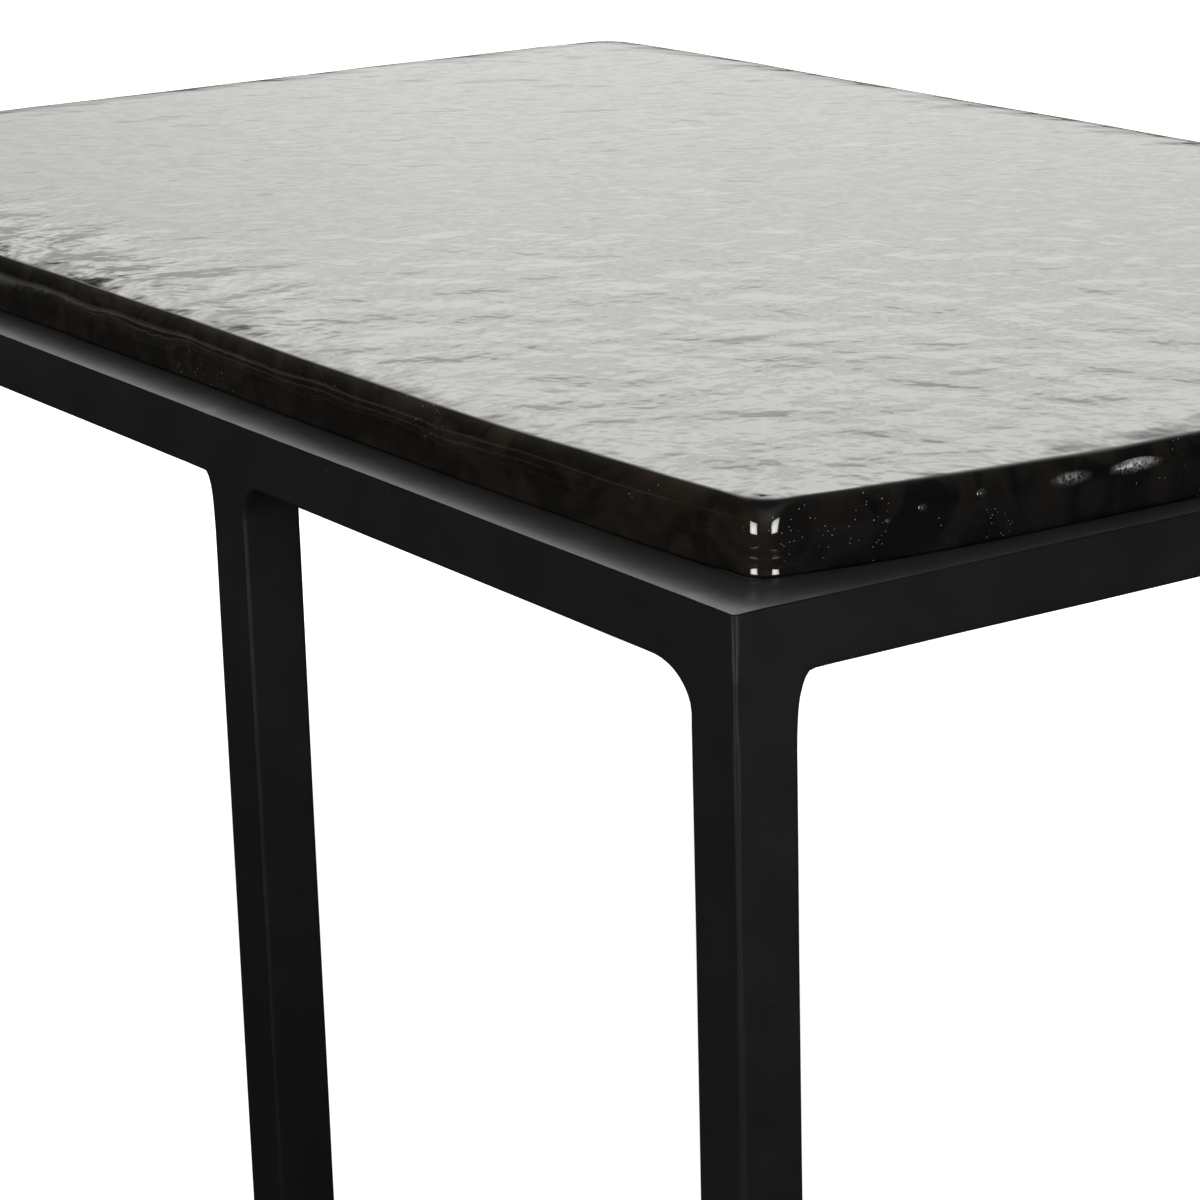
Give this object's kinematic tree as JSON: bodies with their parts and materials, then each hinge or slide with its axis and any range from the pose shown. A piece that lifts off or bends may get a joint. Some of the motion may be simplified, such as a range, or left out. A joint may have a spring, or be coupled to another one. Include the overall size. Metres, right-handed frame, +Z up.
{
  "type": "nesting tables",
  "caption": "Low nesting tables: welded square-tube metal frames carrying thick rippled dark glass slabs, the smaller table sliding in under the larger one's open bay.",
  "frame": {"origin": "on the floor, under the middle of the whole set with the small table pulled out", "axes": "+Z up; +Y from the pulled-out small table towards the large table, which is also the way it slides in; +X along the long sides of the large table, towards the end with the short bay"},
  "size_m": [0.97, 1.31, 0.3756],
  "materials": {
    "black_coat": "satin black powder coat over steel tube with ground welds",
    "dark_glass": "thick cast glass, near black with a brown tint, rippled glossy top and rolled edges",
    "clear_silicone": "clear soft pads",
    "black_plastic": "moulded black foot inserts"
  },
  "bodies": {
    "large_table": {"large_back_rail": "black_coat", "large_bay_back_pad": "clear_silicone", "large_bay_cross_rail": "black_coat", "large_bay_front_pad": "clear_silicone", "large_far_rail": "black_coat", "large_front_rail": "black_coat", "large_glass_top": "dark_glass", "large_glide_back_far": "black_plastic", "large_glide_back_mid": "black_plastic", "large_glide_back_near": "black_plastic", "large_glide_front_far": "black_plastic", "large_glide_front_mid": "black_plastic", "large_glide_front_near": "black_plastic", "large_leg_back_far": "black_coat", "large_leg_back_mid": "black_coat", "large_leg_back_near": "black_coat", "large_leg_front_far": "black_coat", "large_leg_front_mid": "black_coat", "large_leg_front_near": "black_coat", "large_mid_back_pad": "clear_silicone", "large_mid_cross_rail": "black_coat", "large_mid_front_pad": "clear_silicone", "large_near_rail": "black_coat", "large_pad_back_far": "clear_silicone", "large_pad_back_near": "clear_silicone", "large_pad_front_far": "clear_silicone", "large_pad_front_near": "clear_silicone", "large_tab_back_far": "black_coat", "large_tab_back_near": "black_coat", "large_tab_front_far": "black_coat", "large_tab_front_near": "black_coat"},
    "small_table": {"small_back_rail": "black_coat", "small_far_rail": "black_coat", "small_front_rail": "black_coat", "small_glass_top": "dark_glass", "small_glide_back_far": "black_plastic", "small_glide_back_near": "black_plastic", "small_glide_front_far": "black_plastic", "small_glide_front_near": "black_plastic", "small_leg_back_far": "black_coat", "small_leg_back_near": "black_coat", "small_leg_front_far": "black_coat", "small_leg_front_near": "black_coat", "small_mid_back_pad": "clear_silicone", "small_mid_cross_rail": "black_coat", "small_mid_front_pad": "clear_silicone", "small_near_rail": "black_coat", "small_pad_back_far": "clear_silicone", "small_pad_back_near": "clear_silicone", "small_pad_front_far": "clear_silicone", "small_pad_front_near": "clear_silicone", "small_tab_back_far": "black_coat", "small_tab_back_near": "black_coat", "small_tab_front_far": "black_coat", "small_tab_front_near": "black_coat"}
  },
  "joints": [
    {"name": "small_table_slide", "type": "slide", "parent": "large_table", "child": "small_table", "axis": [0, 1, 0], "range_m": [0, 0.725]}
  ]
}
